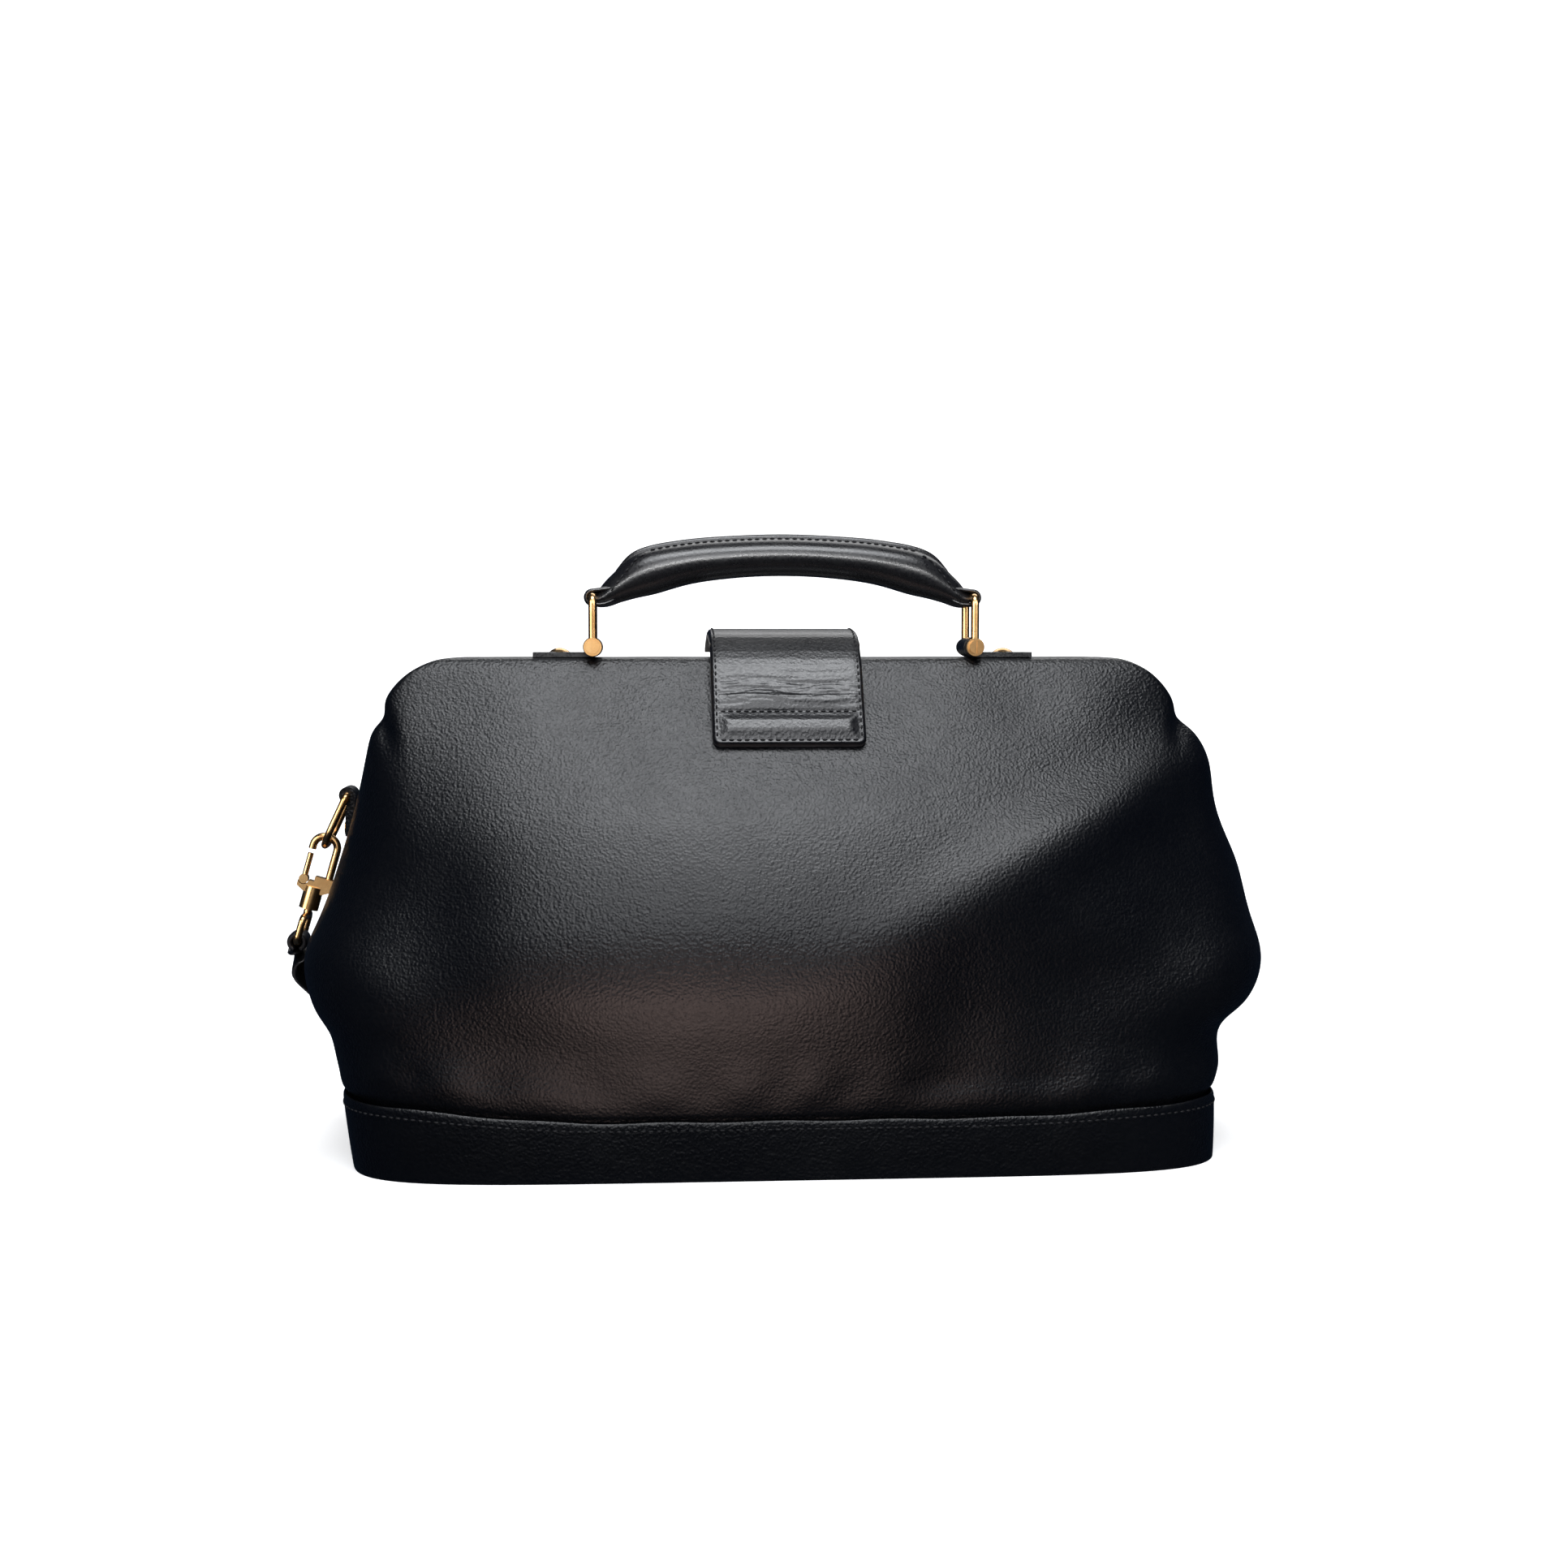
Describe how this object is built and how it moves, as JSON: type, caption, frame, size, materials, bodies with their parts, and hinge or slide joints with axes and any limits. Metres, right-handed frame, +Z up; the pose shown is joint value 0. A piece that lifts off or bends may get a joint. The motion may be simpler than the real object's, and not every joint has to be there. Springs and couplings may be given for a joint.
{
  "type": "doctor bag",
  "caption": "Leather doctor bag with a hinged steel frame mouth, shackle-mounted carrying handle, magnetic closure strap and clip-on shoulder strap.",
  "frame": {"origin": "centre of the footprint on the floor, under the middle of the bag", "axes": "+Z up, +X along the bag's length to the right as seen from the front, -Y is the front, the side the closure strap is sewn to"},
  "size_m": [0.4028, 0.2525, 0.2526],
  "materials": {
    "body_leather": "satin pebbled, dark charcoal",
    "handle_leather": "smooth satin, dark charcoal",
    "strap_leather": "smooth satin, near black",
    "lining": "woven lining, matt",
    "base_board": "pressed fibre board, matt",
    "handle_core": "cotton rope",
    "frame_steel": "plain strip steel",
    "brass": "polished, slightly aged"
  },
  "bodies": {
    "root": {"back_panel": "body_leather", "base_band": "body_leather", "base_board": "base_board", "base_feet": "brass", "base_leather": "body_leather", "chape_rivet_left": "brass", "chape_rivet_right": "brass", "front_panel": "body_leather", "gusset_left": "body_leather", "gusset_right": "body_leather", "hinge_pin_left": "brass", "hinge_pin_right": "brass", "hinge_washer_left": "brass", "hinge_washer_right": "brass", "lining": "lining", "ring_chape_left": "body_leather", "ring_chape_right": "body_leather", "shoulder_strap": "strap_leather"},
    "frame_front": {"frame_steel_front": "frame_steel", "frame_cover_front": "body_leather", "frame_facing_front": "lining", "frame_rivets_front": "brass", "shoulder_front": "body_leather", "handle_chape_left": "handle_leather", "handle_chape_right": "handle_leather", "chape_studs": "brass", "closure_foot": "body_leather"},
    "frame_back": {"frame_steel_back": "frame_steel", "frame_cover_back": "body_leather", "frame_facing_back": "lining", "frame_rivets_back": "brass", "shoulder_back": "body_leather", "closure_magnet_base": "brass"},
    "closure": {"closure_strap": "body_leather", "closure_lining": "lining", "closure_magnet_cap": "brass"},
    "handle": {"handle_grip": "handle_leather", "handle_core": "handle_core", "handle_loop_left": "handle_leather", "handle_loop_right": "handle_leather"},
    "link_left": {"link_left": "brass", "link_pin_left": "brass"},
    "ring_left": {"ring_left": "brass"},
    "hook_left": {"hook_left": "brass"},
    "gate_left": {"hook_gate_left": "brass"},
    "eye_left": {"swivel_eye_left": "brass", "strap_end_left": "strap_leather"},
    "link_right": {"link_right": "brass", "link_pin_right": "brass"},
    "ring_right": {"ring_right": "brass"},
    "hook_right": {"hook_right": "brass"},
    "gate_right": {"hook_gate_right": "brass"},
    "eye_right": {"swivel_eye_right": "brass", "strap_end_right": "strap_leather"}
  },
  "joints": [
    {"name": "frame_front_open", "type": "hinge", "parent": "root", "child": "frame_front", "pos_m": [0, 0, 0.142], "axis": [1, 0, 0], "range_deg": [0, 45]},
    {"name": "frame_back_open", "type": "hinge", "parent": "root", "child": "frame_back", "pos_m": [0, 0, 0.142], "axis": [1, 0, 0], "range_deg": [-45, 0]},
    {"name": "closure_lift", "type": "hinge", "parent": "frame_front", "child": "closure", "pos_m": [0, -0.0266, 0.20783], "axis": [1, 0, 0], "range_deg": [0, 22]},
    {"name": "link_left_swing", "type": "hinge", "parent": "frame_front", "child": "link_left", "pos_m": [-0.077, -0.012, 0.2072], "axis": [0, 1, 0], "range_deg": [-50, 50]},
    {"name": "link_right_swing", "type": "hinge", "parent": "frame_front", "child": "link_right", "pos_m": [0.077, -0.012, 0.2072], "axis": [0, 1, 0], "range_deg": [-50, 50]},
    {"name": "handle_turn", "type": "hinge", "parent": "link_left", "child": "handle", "pos_m": [-0.077, -0.012, 0.2272], "axis": [0, 1, 0], "range_deg": [-50, 50]},
    {"name": "ring_left_swing", "type": "hinge", "parent": "root", "child": "ring_left", "pos_m": [-0.178, 0.01, 0.1465], "axis": [0, 1, 0], "range_deg": [0, 75]},
    {"name": "hook_left_swing", "type": "hinge", "parent": "ring_left", "child": "hook_left", "pos_m": [-0.18772, 0.01, 0.12565], "axis": [0, 1, 0], "range_deg": [0, 60]},
    {"name": "gate_left_press", "type": "hinge", "parent": "hook_left", "child": "gate_left", "pos_m": [-0.19688, 0.01, 0.11184], "axis": [0, 1, 0], "range_deg": [0, 25], "stiffness_Nm_per_rad": 0.01},
    {"name": "eye_left_swivel", "type": "hinge", "parent": "hook_left", "child": "eye_left", "pos_m": [-0.19434, 0.01, 0.10258], "axis": [-0.2756, 0, -0.9613], "range_deg": [-30, 30]},
    {"name": "ring_right_swing", "type": "hinge", "parent": "root", "child": "ring_right", "pos_m": [0.178, 0.01, 0.1465], "axis": [0, -1, 0], "range_deg": [0, 75]},
    {"name": "hook_right_swing", "type": "hinge", "parent": "ring_right", "child": "hook_right", "pos_m": [0.18317, 0.01, 0.12409], "axis": [0, -1, 0], "range_deg": [0, 60]},
    {"name": "gate_right_press", "type": "hinge", "parent": "hook_right", "child": "gate_right", "pos_m": [0.19234, 0.01, 0.11028], "axis": [0, -1, 0], "range_deg": [0, 25], "stiffness_Nm_per_rad": 0.01},
    {"name": "eye_right_swivel", "type": "hinge", "parent": "hook_right", "child": "eye_right", "pos_m": [0.18979, 0.01, 0.10102], "axis": [0.2756, 0, -0.9613], "range_deg": [-30, 30]}
  ],
  "couplings": [
    {"joint": "frame_back_open", "follows": "frame_front_open", "ratio": -1},
    {"joint": "link_right_swing", "follows": "link_left_swing", "ratio": 1},
    {"joint": "handle_turn", "follows": "link_left_swing", "ratio": -1}
  ]
}
